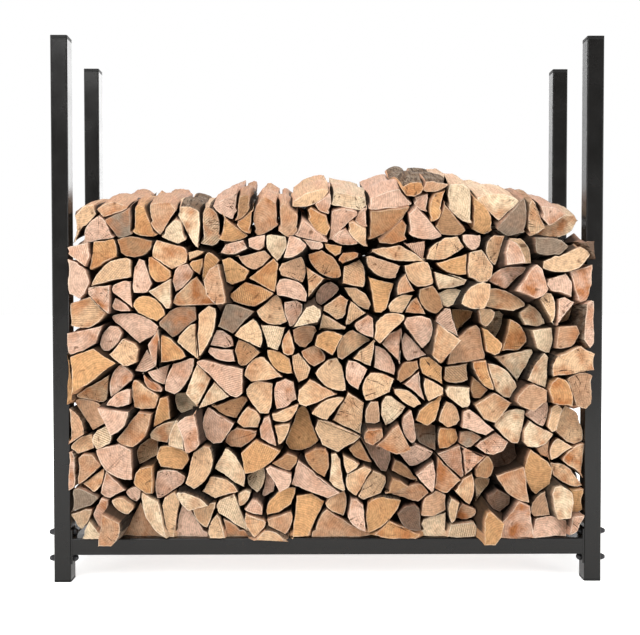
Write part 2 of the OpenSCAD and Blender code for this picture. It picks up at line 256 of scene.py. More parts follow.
for corner in CORNERS:
    for kind, slot, finish, width in ROUNDED:
        node = corner + "_" + kind
        copy = whole_copy(node)
        edges = [edge for edge in copy.edges if is_outer_edge(edge, kind == "plate")]
        bmesh.ops.bevel(copy, geom=edges, offset=width, offset_type="OFFSET", segments=3, profile=0.5,
                        affect="EDGES", clamp_overlap=True, material=-1)
        new_piece("rounded_" + node, copy, [finish], [node])
print("rounded", len(ROUNDED) * len(CORNERS), "caps, feet and end plates")

# %% [markdown]
# Weld beads
#
# The end plates are welded to the rails, and the cross bars to the posts. Flush sides are ground flat,
# so what shows is a short bead in the corner above and below each tube, rippled by the pulse of the
# torch. A bead is a small circle that is extruded step by step, thicker and thinner in turn.

# %% One bead
BEAD_R = 2.3 * MM
BEAD_SIDES = 10
BEAD_END, BEAD_THIN = 0.7, 0.86
RIPPLE = 1.5 * MM


def weld_bead(mesh, start, end):
    """A rippled bead from start to end."""
    way = end - start
    turn = way.to_track_quat("Z", "Y").to_matrix().to_4x4()
    made = bmesh.ops.create_circle(mesh, cap_ends=True, segments=BEAD_SIDES, radius=BEAD_END * BEAD_R,
                                   matrix=Matrix.Translation(start) @ turn)
    ring = list({edge for vert in made["verts"] for edge in vert.link_edges})
    ring.sort(key=lambda edge: edge.index)
    steps = round(way.length / RIPPLE)
    for step in range(steps):
        grown = bmesh.ops.extrude_edge_only(mesh, edges=ring)["geom"]
        verts = [part for part in grown if isinstance(part, bmesh.types.BMVert)]
        ring = [part for part in grown if isinstance(part, bmesh.types.BMEdge)
                and all(vert in verts for vert in part.verts)]
        bmesh.ops.translate(mesh, vec=way / steps, verts=verts)
        centre = sum((vert.co for vert in verts), Vector()) / len(verts)
        size = BEAD_END if step == steps - 1 else (1.0 if step % 2 == 0 else BEAD_THIN)
        now = (verts[0].co - centre).length
        bmesh.ops.scale(mesh, vec=Vector((1, 1, 1)) * size * BEAD_R / now, verts=verts,
                        space=Matrix.Translation(-centre))
    bmesh.ops.edgeloop_fill(mesh, edges=ring)


print("a bead is", round(2 * BEAD_R / MM, 1), "mm thick")

# %% All the beads
BEAD_MARGIN = 3 * MM

beads = bmesh.new()
for tube in BARS:
    low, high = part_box(tube)
    wide = 0 if "rail" in tube else 1
    for z in (low.z, high.z):
        for end in (low, high):
            start = Vector((low.x + BEAD_MARGIN, low.y + BEAD_MARGIN, z))
            finish_at = Vector((high.x - BEAD_MARGIN, high.y - BEAD_MARGIN, z))
            start[wide] = finish_at[wide] = end[wide]
            weld_bead(beads, start, finish_at)
bmesh.ops.recalc_face_normals(beads, faces=beads.faces)
print("weld beads:", len(beads.faces), "faces")
new_piece("weld_beads", beads, [powder_coat], [])

# %% [markdown]
# What a split log is
#
# A round of wood is sawn to length and split along the grain. So a log has three kinds of surface:
# sawn ends, flat to wavy split faces, and a strip of bark on what was the outside of the tree. The
# solids give each log's outline. The logs of a course share a mesh but don't touch, so one log is all
# that can be reached from a vertex by walking along edges.

# %% Find the logs
SAWN, SPLIT, BARK = 0, 1, 2


def logs_of(mesh):
    """The vertices of each log, as lists in a steady order."""
    found = []
    for vert in mesh.verts:
        vert.tag = False
    for first in mesh.verts:
        if first.tag:
            continue
        first.tag = True
        log = [first]
        for vert in log:
            for edge in vert.link_edges:
                other = edge.other_vert(vert)
                if not other.tag:
                    other.tag = True
                    log.append(other)
        found.append(log)
    return found


def long_axis(log):
    """The axis that a log lies along: 1 front to back, or 0 for one laid across."""
    spans = [max(v.co[i] for v in log) - min(v.co[i] for v in log) for i in (0, 1)]
    return 0 if spans[0] > spans[1] else 1


print("kinds of surface:", {"sawn": SAWN, "split": SPLIT, "bark": BARK})

# %% [markdown]
# Where the bark is
#
# Bark is found by shape: it is the run of narrow strips that meet at small angles, where the solid has
# a round side. Two split faces that meet at a blunt angle are only two, so a strip needs such a
# neighbour on both sides, or lies next to one that has. Some logs have lost their bark. About half of
# those at the open sides show it there, and a log laid across has it all round.

# %% Sort the faces
LEAST_LONG = 150 * MM
BLUNT = math.radians(24)
END_FACE, SIDE_FACE = 0.9, 0.7
OPEN_SIDE = 0.55
BARK_AT_SIDES = 0.5


def mark_ends(mesh):
    """Marks every face as sawn or split."""
    for log in logs_of(mesh):
        axis = long_axis(log)
        for vert in log:
            for face in vert.link_faces:
                face.material_index = SAWN if abs(face.normal[axis]) > END_FACE else SPLIT


def mark_round_sides(mesh):
    """Marks the runs of narrow strips as bark."""
    blunt = {}
    for edge in mesh.edges:
        if len(edge.link_faces) == 2 and all(f.material_index == SPLIT for f in edge.link_faces):
            if edge.calc_length() > LEAST_LONG and edge.calc_face_angle() < BLUNT:
                for face, other in (edge.link_faces, reversed(edge.link_faces)):
                    blunt.setdefault(face.index, []).append(other)
    mesh.faces.ensure_lookup_table()
    for number, others in blunt.items():
        if len(others) >= 2:
            for face in [mesh.faces[number]] + others:
                face.material_index = BARK


def choose_bark(mesh, luck, bark_share):
    """Leaves bark on a share of the logs, and adds it at the open sides and on logs laid across."""
    for log in logs_of(mesh):
        sides = {face for vert in log for face in vert.link_faces if face.material_index != SAWN}
        is_bare = luck.random() > bark_share
        is_open_bark = luck.random() < BARK_AT_SIDES
        for face in sides:
            is_open = abs(face.calc_center_median().x) > OPEN_SIDE and abs(face.normal.x) > SIDE_FACE
            if long_axis(log) == 0 or (is_open and is_open_bark):
                face.material_index = BARK
            elif is_bare:
                face.material_index = SPLIT


print("strips of bark meet at less than", round(math.degrees(BLUNT)), "degrees")

# %% [markdown]
# Strips and rings
#
# A long flat face can't bend, so the sides are cut into strips along the log and rings around it, fine
# enough for what follows. Cutting the edges of an end also cuts the end itself, so the ends are put
# back into one face each. A small nudge keeps rounding from changing the count where an edge is a whole
# number of strips long.

# %% Cut the faces
STRIP = 5.5 * MM
STRIP_NUDGE = 0.013
RINGS = 8


def cut_faces(mesh):
    """Cuts the long sides into strips along the log and rings around it."""
    widths = {}
    for edge in mesh.edges:
        if any(face.material_index == SAWN for face in edge.link_faces):
            widths.setdefault(int(edge.calc_length() / STRIP + STRIP_NUDGE), []).append(edge)
    for cuts in sorted(widths):
        if cuts:
            bmesh.ops.subdivide_edges(mesh, edges=widths[cuts], cuts=cuts, use_grid_fill=True)
    long_edges = [edge for edge in mesh.edges if edge.calc_length() > LEAST_LONG]
    bmesh.ops.subdivide_edges(mesh, edges=long_edges, cuts=RINGS, use_grid_fill=True)
    ends = [face for face in mesh.faces if face.material_index == SAWN]
    bmesh.ops.dissolve_faces(mesh, faces=ends, use_verts=False)


print("strips of", round(STRIP / MM, 1), "mm and", RINGS, "rings")

# %% [markdown]
# Room between the logs
#
# The solids are straight prisms that meet at a hairline. In a real stack the ends are a little smaller
# than the thick middles that carry the weight, which leaves dark lines between them. So inside the
# stack a log swells just past halfway to what a ray from its side meets, and no light shines straight
# through. The ray starts on the log's own surface, so faces that point the way it goes are passed over.

# %% Room for swelling
LOG_NODES = [f"log_course_{number:02d}" for number in range(1, 11)] + ["left_heap", "right_heap"]
PRESS = 2 * MM
SKIN = 0.01 * MM

solid_logs = bmesh.new()
for node in LOG_NODES:
    solid_logs.from_mesh(nodes[node].data)
neighbours = BVHTree.FromBMesh(solid_logs)
print("a ray can meet", len(solid_logs.faces), "triangles of the logs")
solid_logs.free()


def room_beside(spot, out, most):
    """How far a log may swell there: past halfway to the next log, or nothing where there is none."""
    met = neighbours.ray_cast(spot, out, 2 * most)
    while met[0] is not None and met[1].dot(out) > 0:
        met = neighbours.ray_cast(met[0] + out * SKIN, out, 2 * most)
    return 0.0 if met[0] is None else min(most, (met[0] - spot).length / 2 + PRESS)


def swell_at(spot, out, most):
    """The full swell there: outward, or sideways over the rails and along the top."""
    for way in (out, Vector((math.copysign(1.0, out.x), 0.0, 0.0))):
        room = room_beside(spot, way, most)
        if room > 0:
            return way * room
    return Vector()


# %% [markdown]
# Measures on a log
#
# Each vertex needs to know which way is out and whether that side is in view. The rings are moved
# towards the nearer end, where the shape changes most. Noise that is drawn out along the grain gives
# the ridges of split wood.

# %% Measures on a log
IN_VIEW = 0.6
RING_SPREAD = 0.55


def side_normal(vert, axis):
    """The outward direction of a vertex, leaving out the sawn ends."""
    total = Vector()
    for face in vert.link_faces:
        if face.material_index != SAWN:
            total += face.normal
    total[axis] = 0
    return total.normalized()


def is_in_view(vert, out, axis):
    """True on a side that faces out between the posts, and along a log laid across."""
    if axis == 0:
        return abs(out.y) > IN_VIEW
    return abs(vert.co.x) > OPEN_SIDE and abs(out.x) > IN_VIEW


def spread(along):
    """Where a ring goes: towards the nearer end, where the shape changes most."""
    share = along * 2 - 1
    return (math.copysign(abs(share) ** RING_SPREAD, share) + 1) / 2


def drawn_noise(offset, axis, along, width, length, drift):
    """Noise that is drawn out along the grain."""
    spot = offset / width
    spot[axis] = along / length
    return noise.noise(spot + drift)


print("rings lie at", [round(spread(ring / (RINGS + 1)), 2) for ring in range(RINGS + 2)], "of the length")

# %% [markdown]
# Swell and sway
#
# A log swells with its depth in the stack. Over the rails it swells at once, or light would come up
# between the lowest logs. The outermost logs ride up and down a little, more so higher up, because a
# side that nothing holds is never stacked straight.

# %% Swell and sway
SWELL_FROM, SWELL_TO = 60 * MM, 120 * MM
RAIL_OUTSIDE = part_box("back_rail")[1].y
RAIL_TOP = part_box("back_rail")[1].z
NEAR_RAIL = 15 * MM
SWAY_LENGTH, SWAY_BY = 100 * MM, 7 * MM
SWAY_FROM, SWAY_AT = 0.5, 0.006


def swell_share(depth, put, height):
    """How much of its swell a vertex takes there."""
    if abs(put) < RAIL_OUTSIDE and height < RAIL_TOP + NEAR_RAIL:
        return 1.0
    return max(0.0, min(1.0, (depth - SWELL_FROM) / (SWELL_TO - SWELL_FROM)))


def sway(spot):
    """How far a log rides up or down there."""
    beside = max(0.0, abs(spot.x) - SWAY_FROM) * (spot.z - RAIL_TOP)
    return min(1.0, beside / SWAY_AT) * SWAY_BY * noise.noise(spot / SWAY_LENGTH)


print("logs swell fully near the rails, below", round((RAIL_TOP + NEAR_RAIL) / MM), "mm")

# %% [markdown]
# Shaping a log
#
# Ends are drawn in by different amounts, loose ones more, and the undersides of loose logs settle into
# those below. Ridges run along the grain, calmer inside the stack and on slim logs, which they would
# tear. Sides in view bulge between the posts and wander. Each saw cut is tilted a few degrees, so
# that neighbouring ends catch the light differently. Logs laid across are pressed end to end.

# %% Shape one log
END_GAP = (0.3 * MM, 3.3 * MM)
LOOSE_GAP = 1.6 * MM
THIN = 0.25
SLIM = 10 * MM
MOST_SWELL, HEAP_SWELL = 20 * MM, 4 * MM
SETTLE, UNDER = 2.5 * MM, -0.4
RIDGES = ((6 * MM, 110 * MM, 1.2 * MM), (30 * MM, 210 * MM, 2.4 * MM))
CALM_INSIDE = 0.7
BULGE = 11 * MM
WANDER, WANDER_BY, WANDER_IN = (45 * MM, 160 * MM), 5 * MM, 0.5
TILT, END_ZONE = 0.1, 100 * MM
DRIFT = 100
POST_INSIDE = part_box("back_left_post")[0].y


def shape_log(log, luck, is_stacked):
    """Pulls, swells, ridges and tilts one log."""
    axis = long_axis(log)
    low = min(v.co[axis] for v in log)
    high = max(v.co[axis] for v in log)
    ends = [[v for v in log if abs(v.co[axis] - end) < MERGE] for end in (low, high)]
    centres = [sum((v.co for v in end), Vector()) / len(end) for end in ends]
    outward = [side_normal(v, axis) for v in log]
    thin = min((v.co - centres[i]).dot(side_normal(v, axis)) for i in range(2) for v in ends[i])
    slim = max(0.0, min(1.0, thin / SLIM))
    loose = 0.0 if is_stacked else LOOSE_GAP
    gap = min(luck.uniform(*END_GAP) + loose, THIN * max(thin, 0.0)) * axis
    most = MOST_SWELL if is_stacked else HEAP_SWELL
    drift = Vector([luck.uniform(0, DRIFT) for _ in range(3)])
    tilts = [Vector([luck.gauss(0, TILT) for _ in range(3)]) for _ in range(2)]
    leans = [[(v.co - centres[i]).dot(tilts[i]) for v in ends[i]] for i in range(2)]
    limits = (min(leans[0]), max(leans[1]))
    alongs = [(v.co[axis] - low) / (high - low) for v in log]
    middles = [centres[0].lerp(centres[1], along) for along in alongs]
    opens = [is_in_view(v, out, axis) for v, out in zip(log, outward)]
    heights = [(v.co - middle).z for v, middle, is_open in zip(log, middles, opens) if is_open]
    for vert, out, along, middle, is_open in zip(log, outward, alongs, middles, opens):
        offset = vert.co - middle
        run = vert.co[axis] - low
        depth = (high - low) * min(along, 1 - along)
        put = low + spread(along) * (high - low)
        full = swell_share(depth, put, vert.co.z)
        swell = swell_at(vert.co, out, most) * full if full > 0 and axis == 1 else Vector()
        is_under = not is_stacked and out.z < UNDER
        move = (SETTLE if is_under else -gap) * (1 - full)
        calm = slim * (1 - CALM_INSIDE * full * (is_stacked and not is_open))
        for width, length, height in RIDGES:
            move += height * calm * drawn_noise(offset, axis, run, width, length, drift)
        if is_open:
            across = (offset.z - min(heights)) / max(MERGE, max(heights) - min(heights))
            is_clear = axis == 0 or abs(put) < POST_INSIDE - END_GAP[1]
            wander = drawn_noise(offset, axis, run, *WANDER, drift) - WANDER_IN
            move += (BULGE * is_clear + WANDER_BY * slim * wander) * (1 - (2 * across - 1) ** 2)
        nearest = 0 if along < 0.5 else 1
        inward = offset.dot(tilts[nearest]) - limits[nearest]
        if axis == 0:
            inward = PRESS if nearest else -PRESS
        vert.co += out * move + swell
        vert.co[axis] = put + max(0.0, 1 - depth / END_ZONE) * inward
        vert.co.z += sway(vert.co)


print("open sides bulge up to", round(BULGE / MM), "mm within", round(POST_INSIDE / MM), "mm of the middle")

# %% [markdown]
# Rims of the saw cuts
#
# A saw leaves a small ragged, paler edge round each end. The edge is rounded by a bevel, and a narrow
# inset inside it gives the pale line a place of its own. The line's strength is stored on the mesh,
# from one at the edge to nothing at the inset. An end too slim for the inset goes without it.

# %% Round the rims
RIM_ROUND = 0.9 * MM
RIM_WIDTH = 1.9 * MM
BEVEL_CORNERS = 4


def round_rims(mesh):
    """Bevels the edges of the saw cuts and insets the ends."""
    rims = [edge for edge in mesh.edges if len(edge.link_faces) == 2
            and (edge.link_faces[0].material_index == SAWN) != (edge.link_faces[1].material_index == SAWN)]
    bmesh.ops.bevel(mesh, geom=rims, offset=RIM_ROUND, offset_type="OFFSET", segments=2, profile=0.5,
                    affect="EDGES", clamp_overlap=False, material=-1)
    ends = [face for face in mesh.faces if face.material_index == SAWN and len(face.verts) > BEVEL_CORNERS
            and face.calc_area() > 2 * RIM_WIDTH * face.calc_perimeter()]
    rim = mesh.verts.layers.float.new("rim")
    for face in ends:
        for vert in face.verts:
            vert[rim] = 1.0
    bmesh.ops.inset_individual(mesh, faces=ends, thickness=RIM_WIDTH, use_even_offset=False)
    for face in ends:
        for vert in face.verts:
            vert[rim] = 0.0


print("rims are", round(RIM_WIDTH / MM, 1), "mm wide")

# %% [markdown]
# The wood of each log
#
# Most logs are tan, pink or cream, and a few are weathered grey or nearly black. The pith is the middle
# of the tree, so it lies off to one side of a split log, opposite the bark where there is bark. The
# tone's alpha says how pale the rim is.

# %% Choose tone and pith
TONES = [("D5B18C", 26), ("D4B099", 26), ("CA9B6B", 13), ("E2CAA9", 14), ("C19A7A", 11), ("A67F5C", 6),
         ("8F7D6B", 3), ("66564A", 2)]
GAIN = (0.88, 1.08)
PALENESS, PALEST = 1.2, 0.5
PITH_MM = (22, 55)


def choose_tone(luck):
    """A wood's colour, with the paleness of its rim as alpha."""
    colour = linear(luck.choices([t[0] for t in TONES], [t[1] for t in TONES])[0])
    gain = luck.uniform(*GAIN)
    pale = min(PALEST, PALENESS * colour[1])
    return [min(1.0, c * gain) for c in colour[:3]] + [pale]


def choose_pith(log, side, luck):
    """Where the pith lies, seen from the middle of a log."""
    bark = sum((f.normal for v in log for f in v.link_faces if f.material_index == BARK), Vector())
    turn = luck.uniform(0, math.tau)
    away = Vector((math.cos(turn), 0, math.sin(turn)))
    if bark.length > 0:
        away = Vector((-bark[side], 0, -bark.z)).normalized()
    return away * luck.uniform(*PITH_MM) * MM


print("tones of wood:", len(TONES))

# %% [markdown]
# What each log remembers
#
# One material serves all the ends, so what differs from log to log is stored on the mesh: the wood's
# tone, the place measured from the pith so that rings curve round it, the place turned along the saw
# marks, and how stained, striped and cracked the end is. Inside the stack the sides of the logs get a
# painted shade that darkens with their depth, and so do the creases between loose logs.

# %% Store what differs
NEAR_END = 12 * MM
APART = 3
RARE = 6
DARK, DARK_MARKS = 0.2, (0.2, 0.5, 1.0)
OPEN_UNDER = 0.125
CREASE = 8 * MM


def tell_logs_apart(mesh, luck, is_stacked):
    """Stores tone, grain, saw direction, marks and painted shade by depth on the vertices of each log."""
    tone = mesh.verts.layers.float_color.new("tone")
    grain = mesh.verts.layers.float_vector.new("grain")
    saw = mesh.verts.layers.float_vector.new("saw")
    marks = mesh.verts.layers.float_vector.new("marks")
    painted_shade_depth = mesh.verts.layers.float.new("painted_shade_depth")
    for log in logs_of(mesh):
        axis = long_axis(log)
        side = 1 - axis
        low = min(v.co[axis] for v in log)
        high = max(v.co[axis] for v in log)
        ends = [[v.co for v in log if abs(v.co[axis] - end) < NEAR_END] for end in (low, high)]
        centres = [sum(end, Vector()) / max(1, len(end)) for end in ends]
        pith = choose_pith(log, side, luck)
        colour = choose_tone(luck)
        cut = luck.uniform(0, math.tau)
        start = luck.uniform(0, APART)
        mark = Vector((luck.random(), luck.random() ** RARE, luck.random()))
        if colour[0] < DARK:
            mark = Vector(DARK_MARKS)
        for vert in log:
            along = (vert.co[axis] - low) / (high - low)
            place = vert.co - centres[0].lerp(centres[1], along)
            flat = Vector((place[side], 0, place.z))
            vert[tone] = colour
            vert[grain] = flat - pith + Vector((0, start + along * (high - low), 0))
            vert[saw] = Vector((flat.x * math.cos(cut) - flat.z * math.sin(cut) + start,
                                flat.x * math.sin(cut) + flat.z * math.cos(cut) + start, 0))
            vert[marks] = mark
            # Painted shade: log sides inside the stack, and sides in creases between loose logs, darken
            # with depth from the nearer end.
            is_inside = abs(vert.co.x) < OPEN_SIDE and vert.co.z > OPEN_UNDER
            if not is_stacked:
                is_inside = room_beside(vert.co, vert.normal, CREASE) > 0
            vert[painted_shade_depth] = min(1.0, (high - low) * min(along, 1 - along) / END_ZONE) if is_inside else 0.0


print("sides grow darker down to", round(END_ZONE / MM), "mm inside")

# %% [markdown]
# Sawn end grain: stain and rings
#
# A chain saw leaves end grain matt and slightly furry. Stain from the heartwood lies in soft patches.
# Growth rings show as faint darker arcs round the pith; real ones are two to four millimetres apart,
# and here they are drawn at five, since finer ones vanish at this distance. A Wave node repeats every
# 0.314 of its units, so its scale is that over the spacing.

# %% Stain and rings
STAIN = 34 * MM
RING = 5 * MM
WAVE = 0.314

end_grain, tree = new_finish("sawn_hardwood_end_grain")
wood = add(tree, "ShaderNodeAttribute", attribute_name="tone")
grain = add(tree, "ShaderNodeAttribute", attribute_name="grain").outputs["Vector"]
marks = add(tree, "ShaderNodeAttribute", attribute_name="marks").outputs["Vector"]
mark = add(tree, "ShaderNodeSeparateXYZ", {0: marks})

stain = add(tree, "ShaderNodeTexNoise", {"Vector": grain, "Scale": 1 / STAIN, "Detail": 3.0})
stain_spread = add(tree, "ShaderNodeMapRange", {"Value": stain.outputs["Fac"], 1: 0.38, 2: 0.68})
stain_share = add(tree, "ShaderNodeMath", {0: stain_spread.outputs[0], 1: mark.outputs[0]},
                  operation="MULTIPLY")
stained = add(tree, "ShaderNodeMix", {
    0: stain_share.outputs[0], 6: wood.outputs["Color"], 7: linear("A8683A")}, data_type="RGBA")

rings = add(tree, "ShaderNodeTexWave", {
    "Vector": grain, "Scale": WAVE / RING, "Distortion": 2.4, "Detail": 2.0, "Detail Scale": 0.6},
    wave_type="RINGS", rings_direction="Y")
ring_dark = add(tree, "ShaderNodeMapRange", {
    "Value": rings.outputs["Fac"], 1: 0.0, 2: 0.5, 3: 0.82, 4: 1.0})
ringed = add(tree, "ShaderNodeMix", {0: 1.0, 6: stained.outputs[2], 7: ring_dark.outputs[0]},
             data_type="RGBA", blend_type="MULTIPLY")
print("stain and rings use", len(tree.nodes), "nodes")

# %% [markdown]
# Sawn end grain: ripples of the saw
#
# A saw that is pushed in jerks leaves straight ripples. Few ends have strong ones, and they fade where
# the stain is.

# %% Saw ripples
SAW_MARK = 4.6 * MM

saw = add(tree, "ShaderNodeAttribute", attribute_name="saw").outputs["Vector"]
ripple = add(tree, "ShaderNodeTexWave", {
    "Vector": saw, "Scale": WAVE / SAW_MARK, "Distortion": 2.2, "Detail": 1.0, "Detail Scale": 0.2},
    wave_type="BANDS")
ripple_deep = add(tree, "ShaderNodeMapRange", {"Value": ripple.outputs["Fac"], 1: 0.55, 2: 0.05})
ripple_patch = add(tree, "ShaderNodeMapRange", {
    "Value": stain.outputs["Fac"], 1: 0.3, 2: 0.62, 3: 1.0, 4: 0.25})
ripple_some = add(tree, "ShaderNodeMath", {0: ripple_patch.outputs[0], 1: mark.outputs[1]},
                  operation="MULTIPLY")
ripple_share = add(tree, "ShaderNodeMath", {0: ripple_deep.outputs[0], 1: ripple_some.outputs[0]},
                   operation="MULTIPLY")
rippled = add(tree, "ShaderNodeMix", {
    0: ripple_share.outputs[0], 6: ringed.outputs[2], 7: linear("8A5F3C")}, data_type="RGBA")
print("with the ripples it has", len(tree.nodes), "nodes")

# %% [markdown]
# Sawn end grain: cracks and knots
#
# Drying opens thin dark cracks that run out from the pith. They are the middle line of a noise that is
# laid out by angle and distance round the pith, so it changes fast around it and slowly outward. Small
# dark knots are the peaks of another noise.

# %% Cracks and knots
CRACKS_AROUND, CRACK_REACH = 4.0, (9, 0, 9)
KNOT = 15 * MM

place = add(tree, "ShaderNodeSeparateXYZ", {0: grain})
angle = add(tree, "ShaderNodeMath", {0: place.outputs[0], 1: place.outputs[2]}, operation="ARCTAN2")
around = add(tree, "ShaderNodeMath", {0: angle.outputs[0], 1: CRACKS_AROUND}, operation="MULTIPLY")
outward = add(tree, "ShaderNodeVectorMath", {0: grain, 1: CRACK_REACH}, operation="MULTIPLY")
reach = add(tree, "ShaderNodeVectorMath", {0: outward.outputs[0]}, operation="LENGTH")
polar = add(tree, "ShaderNodeCombineXYZ", {
    0: around.outputs[0], 1: reach.outputs["Value"], 2: place.outputs[1]})
check_line = add(tree, "ShaderNodeTexNoise", {"Vector": polar.outputs[0], "Scale": 1.0, "Detail": 2.0})
off_line = add(tree, "ShaderNodeMath", {0: check_line.outputs["Fac"], 1: 0.5}, operation="SUBTRACT")
line_gap = add(tree, "ShaderNodeMath", {0: off_line.outputs[0]}, operation="ABSOLUTE")
crack = add(tree, "ShaderNodeMapRange", {"Value": line_gap.outputs[0], 1: 0.004, 2: 0.011, 3: 1.0, 4: 0.0})
is_cracked = add(tree, "ShaderNodeMapRange", {"Value": mark.outputs[2], 1: 0.66, 2: 0.9})
crack_share = add(tree, "ShaderNodeMath", {0: crack.outputs[0], 1: is_cracked.outputs[0]},
                  operation="MULTIPLY")
cracked = add(tree, "ShaderNodeMix", {
    0: crack_share.outputs[0], 6: rippled.outputs[2], 7: linear("4A2F1E")}, data_type="RGBA")

knot = add(tree, "ShaderNodeTexNoise", {"Vector": grain, "Scale": 1 / KNOT, "Detail": 1.0})
knot_dark = add(tree, "ShaderNodeMapRange", {
    "Value": knot.outputs["Fac"], 1: 0.68, 2: 0.78, 3: 0.0, 4: 0.75})
knotted = add(tree, "ShaderNodeMix", {
    0: knot_dark.outputs[0], 6: cracked.outputs[2], 7: linear("5E3A22")}, data_type="RGBA")
print("with cracks and knots it has", len(tree.nodes), "nodes")

# %% [markdown]
# Sawn end grain: flecks, rim and nap
#
# Torn fibres make the surface flecked at two sizes. The pale rim stored on the mesh is broken up by a
# third noise. Flecks and ripples also give the bump of the furry surface, which is rough and has
# little gloss.

# %% Flecks, rim and nap
FLECK = 1.7 * MM
MOTTLE = 7 * MM
TEAR = 13 * MM

fleck = add(tree, "ShaderNodeTexNoise", {"Vector": grain, "Scale": 1 / FLECK, "Detail": 3.0})
fleck_light = add(tree, "ShaderNodeMapRange", {
    "Value": fleck.outputs["Fac"], 1: 0.3, 2: 0.7, 3: 0.86, 4: 1.1})
flecked = add(tree, "ShaderNodeMix", {0: 1.0, 6: knotted.outputs[2], 7: fleck_light.outputs[0]},
              data_type="RGBA", blend_type="MULTIPLY")
mottle = add(tree, "ShaderNodeTexNoise", {"Vector": grain, "Scale": 1 / MOTTLE, "Detail": 4.0})
mottle_light = add(tree, "ShaderNodeMapRange", {
    "Value": mottle.outputs["Fac"], 1: 0.32, 2: 0.62, 3: 0.74, 4: 1.1})
mottled = add(tree, "ShaderNodeMix", {0: 1.0, 6: flecked.outputs[2], 7: mottle_light.outputs[0]},
              data_type="RGBA", blend_type="MULTIPLY")

rim = add(tree, "ShaderNodeAttribute", attribute_name="rim").outputs["Fac"]
torn = add(tree, "ShaderNodeTexNoise", {"Vector": grain, "Scale": 1 / TEAR, "Detail": 2.0})
torn_share = add(tree, "ShaderNodeMapRange", {
    "Value": torn.outputs["Fac"], 1: 0.36, 2: 0.58, 3: 0.15, 4: 1.1})
whole_rim = add(tree, "ShaderNodeMath", {0: rim, 1: wood.outputs["Alpha"]}, operation="MULTIPLY")
pale = add(tree, "ShaderNodeMath", {0: whole_rim.outputs[0], 1: torn_share.outputs[0]},
           operation="MULTIPLY")
rimmed = add(tree, "ShaderNodeMix", {0: pale.outputs[0], 6: mottled.outputs[2], 7: linear("F6EBD6")},
             data_type="RGBA")

fuzz = add(tree, "ShaderNodeMath", {0: fleck.outputs["Fac"], 1: mottle.outputs["Fac"]}, operation="ADD")
fur = add(tree, "ShaderNodeMath", {0: fuzz.outputs[0], 1: ripple_share.outputs[0]}, operation="SUBTRACT")
nap = add(tree, "ShaderNodeBump", {"Height": fur.outputs[0], "Strength": 0.5, "Distance": 0.7 * MM})
ends = add(tree, "ShaderNodeBsdfPrincipled", {
    "Base Color": rimmed.outputs[2], "Roughness": 0.82, "Normal": nap.outputs[0],
    "Specular IOR Level": 0.25})
add(tree, "ShaderNodeOutputMaterial", {"Surface": ends.outputs[0]})
print("end grain uses", len(tree.nodes), "nodes")

# %% [markdown]
# Split faces
#
# An axe parts the fibres, so a split face is a bundle of long ridges with a soft shine along them. The
# streaks are noise that is stretched along the grain, a few millimetres wide and a hand long. Fresh
# faces are pinker than the ends. Painted shade stored on the mesh darkens them with depth in the stack.

# %% Split faces
FIBRE = (3.2 * MM, 150 * MM)
SPLINTER = (1.4 * MM, 70 * MM)
BLUSH = (30 * MM, 110 * MM)

split_face, tree = new_finish("split_hardwood_long_grain")
tone = add(tree, "ShaderNodeAttribute", attribute_name="tone").outputs["Color"]
grain = add(tree, "ShaderNodeAttribute", attribute_name="grain").outputs["Vector"]
streaks = []
for across, along in (FIBRE, SPLINTER, BLUSH):
    drawn = add(tree, "ShaderNodeVectorMath", {0: grain, 1: (1 / across, 1 / along, 1 / across)},
                operation="MULTIPLY")
    streaks.append(add(tree, "ShaderNodeTexNoise", {
        "Vector": drawn.outputs[0], "Scale": 1.0, "Detail": 3.0}))
fibre, splinter, blush = [streak.outputs["Fac"] for streak in streaks]
blush_share = add(tree, "ShaderNodeMapRange", {"Value": blush, 1: 0.4, 2: 0.66, 3: 0.15, 4: 0.7})
blushed = add(tree, "ShaderNodeMix", {0: blush_share.outputs[0], 6: tone, 7: linear("CF9C80")},
              data_type="RGBA")
fibre_light = add(tree, "ShaderNodeMapRange", {"Value": fibre, 1: 0.3, 2: 0.7, 3: 0.68, 4: 1.1})
streaked = add(tree, "ShaderNodeMix", {0: 1.0, 6: blushed.outputs[2], 7: fibre_light.outputs[0]},
               data_type="RGBA", blend_type="MULTIPLY")
torn = add(tree, "ShaderNodeMapRange", {"Value": splinter, 1: 0.34, 2: 0.42, 3: 0.5, 4: 0.0})
faced = add(tree, "ShaderNodeMix", {0: torn.outputs[0], 6: streaked.outputs[2], 7: linear("7A4E35")},
            data_type="RGBA")
# Painted shade: the depth stored on the mesh darkens the sides inside the stack and in creases.
painted_shade_depth = add(tree, "ShaderNodeAttribute", attribute_name="painted_shade_depth").outputs["Fac"]
shade = add(tree, "ShaderNodeMapRange", {"Value": painted_shade_depth, 1: 0.01, 2: 0.3, 3: 1.0, 4: 0.1})
shaded = add(tree, "ShaderNodeMix", {0: 1.0, 6: faced.outputs[2], 7: shade.outputs[0]},
             data_type="RGBA", blend_type="MULTIPLY")
relief = add(tree, "ShaderNodeMath", {0: fibre, 1: splinter}, operation="ADD")
ridges = add(tree, "ShaderNodeBump", {"Height": relief.outputs[0], "Strength": 0.7, "Distance": 1.2 * MM})
face_wood = add(tree, "ShaderNodeBsdfPrincipled", {
    "Base Color": shaded.outputs[2], "Roughness": 0.7, "Normal": ridges.outputs[0],
    "Specular IOR Level": 0.3})
add(tree, "ShaderNodeOutputMaterial", {"Surface": face_wood.outputs[0]})
print("split faces use", len(tree.nodes), "nodes")

# %% [markdown]
# Bark
#
# The bark is thin and grey-brown, with shallow ridges that are drawn out along the trunk and parted by
# darker fissures. Noise stretched along the grain gives both, and rounder noise the grey patches.

# %% Bark
FISSURE = (5 * MM, 42 * MM)
PATCH = 26 * MM

